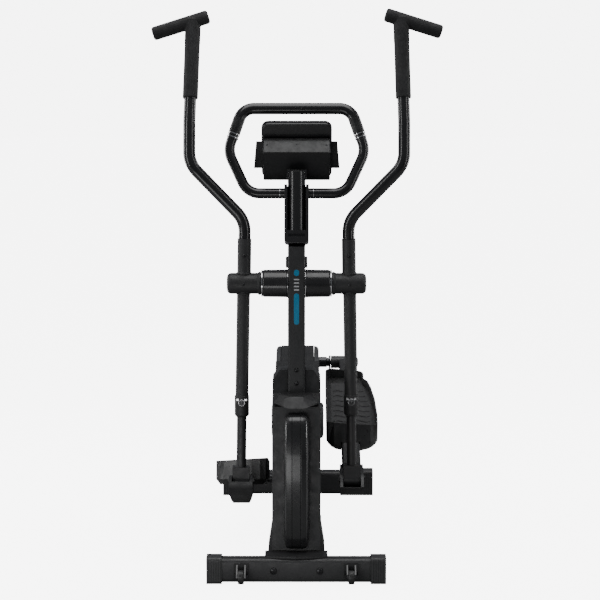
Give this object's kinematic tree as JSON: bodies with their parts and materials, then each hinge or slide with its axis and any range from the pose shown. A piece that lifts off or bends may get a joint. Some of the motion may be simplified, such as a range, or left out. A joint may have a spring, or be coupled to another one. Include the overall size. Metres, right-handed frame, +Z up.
{
  "type": "elliptical trainer",
  "caption": "Rear-drive elliptical trainer with swinging T handlebars, foot trays on crank-driven bars, belt-driven flywheel, mast console and fixed pulse handlebar.",
  "frame": {"origin": "on the floor, at the middle of the box round the whole machine", "axes": "+Z up; -Y is the front, where the mast and the transport wheels are, and the user stands at +Y facing -Y; +X is the user's left"},
  "size_m": [0.8464, 1.232, 1.6232],
  "materials": {
    "steel_black": "satin black powder coat",
    "mast_black": "fine-textured matte black powder coat",
    "tube_gloss": "gloss black paint",
    "casing": "satin black moulded plastic, fine grain",
    "casing_gloss": "polished black moulded plastic",
    "disc": "matte dark grey moulded plastic",
    "pedal": "ribbed black plastic",
    "foot_cap": "ribbed black plastic",
    "wheel": "black nylon",
    "foam": "dark grey closed-cell foam sleeve",
    "chrome": "bright plated",
    "zinc": "zinc-plated steel",
    "pulley": "glass-filled nylon",
    "iron": "turned iron",
    "belt": "ribbed drive belt",
    "console": "matte black moulding",
    "console_gloss": "gloss black bezel",
    "screen": "dark display window",
    "button": "grey silicone keys"
  },
  "bodies": {
    "frame": {"base_frame": "steel_black", "front_stabiliser": "steel_black", "rear_stabiliser": "steel_black", "end_cap_front_left": "foot_cap", "end_cap_front_right": "foot_cap", "end_cap_rear_left": "foot_cap", "end_cap_rear_right": "foot_cap", "wheel_bracket_left": "steel_black", "wheel_bracket_right": "steel_black", "mast": "mast_black", "mast_cover": "casing_gloss", "console_post": "tube_gloss", "pulse_handlebar": "tube_gloss", "pulse_ring_left": "chrome", "pulse_ring_right": "chrome", "console_shell": "console", "console_face": "console_gloss", "console_lens": "screen", "tablet_holder": "console", "cross_axle": "zinc", "axle_cover_left": "casing_gloss", "axle_cover_right": "casing_gloss", "axle_ring_left": "chrome", "axle_ring_right": "chrome", "casing_left": "casing", "casing_right": "casing", "mast_collar": "casing_gloss", "flywheel_cover": "casing_gloss", "power_inlet": "casing", "drive_belt": "belt", "flywheel_axle": "zinc"},
    "crank": {"crank_axle": "zinc", "crank_disc_left": "disc", "crank_disc_right": "disc", "crank_pin_left": "zinc", "crank_pin_right": "zinc", "drive_pulley": "pulley"},
    "flywheel": {"flywheel": "iron"},
    "idler": {"idler_pulley": "zinc"},
    "brake": {"brake_bracket": "zinc"},
    "wheel_left": {"transport_wheel_left": "wheel"},
    "wheel_right": {"transport_wheel_right": "wheel"},
    "arm_left": {"swing_arm_left": "mast_black", "lower_arm_left": "steel_black", "handlebar_left": "tube_gloss", "grip_left": "foam", "clamp_bolt_left": "chrome"},
    "pedal_bar_left": {"pedal_bar_left": "steel_black", "pedal_left": "pedal"},
    "arm_right": {"swing_arm_right": "mast_black", "lower_arm_right": "steel_black", "handlebar_right": "tube_gloss", "grip_right": "foam", "clamp_bolt_right": "chrome"},
    "pedal_bar_right": {"pedal_bar_right": "steel_black", "pedal_right": "pedal"},
    "button_1": {"console_button_1": "button"},
    "button_2": {"console_button_2": "button"},
    "button_3": {"console_button_3": "button"},
    "button_4": {"console_button_4": "button"}
  },
  "joints": [
    {"name": "crank_turn", "type": "hinge", "parent": "frame", "child": "crank", "pos_m": [0, 0.325, 0.305], "axis": [1, 0, 0], "range_deg": [0, 45]},
    {"name": "flywheel_spin", "type": "hinge", "parent": "frame", "child": "flywheel", "pos_m": [0, -0.33, 0.285], "axis": [1, 0, 0], "continuous": true},
    {"name": "idler_spin", "type": "hinge", "parent": "frame", "child": "idler", "pos_m": [0, -0.18767, 0.22268], "axis": [1, 0, 0], "continuous": true},
    {"name": "brake_swing", "type": "hinge", "parent": "frame", "child": "brake", "pos_m": [0, -0.15, 0.27], "axis": [1, 0, 0], "range_deg": [-6, 0]},
    {"name": "arm_swing_left", "type": "hinge", "parent": "frame", "child": "arm_left", "pos_m": [0, -0.34, 0.833], "axis": [1, 0, 0], "range_deg": [-15.87, 0.02]},
    {"name": "pedal_bar_turn_left", "type": "hinge", "parent": "crank", "child": "pedal_bar_left", "pos_m": [0, 0.325, 0.498], "axis": [1, 0, 0], "range_deg": [-51.39, 0.02]},
    {"name": "arm_swing_right", "type": "hinge", "parent": "frame", "child": "arm_right", "pos_m": [0, -0.34, 0.833], "axis": [1, 0, 0], "range_deg": [-0.02, 12.77]},
    {"name": "pedal_bar_turn_right", "type": "hinge", "parent": "crank", "child": "pedal_bar_right", "pos_m": [0, 0.325, 0.112], "axis": [1, 0, 0], "range_deg": [-41.26, 0.02]},
    {"name": "wheel_spin_left", "type": "hinge", "parent": "frame", "child": "wheel_left", "pos_m": [0.156, -0.596, 0.028], "axis": [1, 0, 0], "continuous": true},
    {"name": "wheel_spin_right", "type": "hinge", "parent": "frame", "child": "wheel_right", "pos_m": [-0.156, -0.596, 0.028], "axis": [1, 0, 0], "continuous": true},
    {"name": "button_press_1", "type": "slide", "parent": "frame", "child": "button_1", "axis": [0, -0.9272, -0.3746], "range_m": [0, 0.0018], "stiffness_N_per_m": 400, "springref_m": -0.001},
    {"name": "button_press_2", "type": "slide", "parent": "frame", "child": "button_2", "axis": [0, -0.9272, -0.3746], "range_m": [0, 0.0018], "stiffness_N_per_m": 400, "springref_m": -0.001},
    {"name": "button_press_3", "type": "slide", "parent": "frame", "child": "button_3", "axis": [0, -0.9272, -0.3746], "range_m": [0, 0.0018], "stiffness_N_per_m": 400, "springref_m": -0.001},
    {"name": "button_press_4", "type": "slide", "parent": "frame", "child": "button_4", "axis": [0, -0.9272, -0.3746], "range_m": [0, 0.0018], "stiffness_N_per_m": 400, "springref_m": -0.001}
  ],
  "couplings": [
    {"joint": "flywheel_spin", "follows": "crank_turn", "ratio": 7.5},
    {"joint": "idler_spin", "follows": "crank_turn", "ratio": -7.5},
    {"joint": "arm_swing_left", "follows": "crank_turn", "ratio": -0.35231},
    {"joint": "pedal_bar_turn_left", "follows": "crank_turn", "ratio": -1.1415},
    {"joint": "arm_swing_right", "follows": "crank_turn", "ratio": 0.28324},
    {"joint": "pedal_bar_turn_right", "follows": "crank_turn", "ratio": -0.9165}
  ]
}
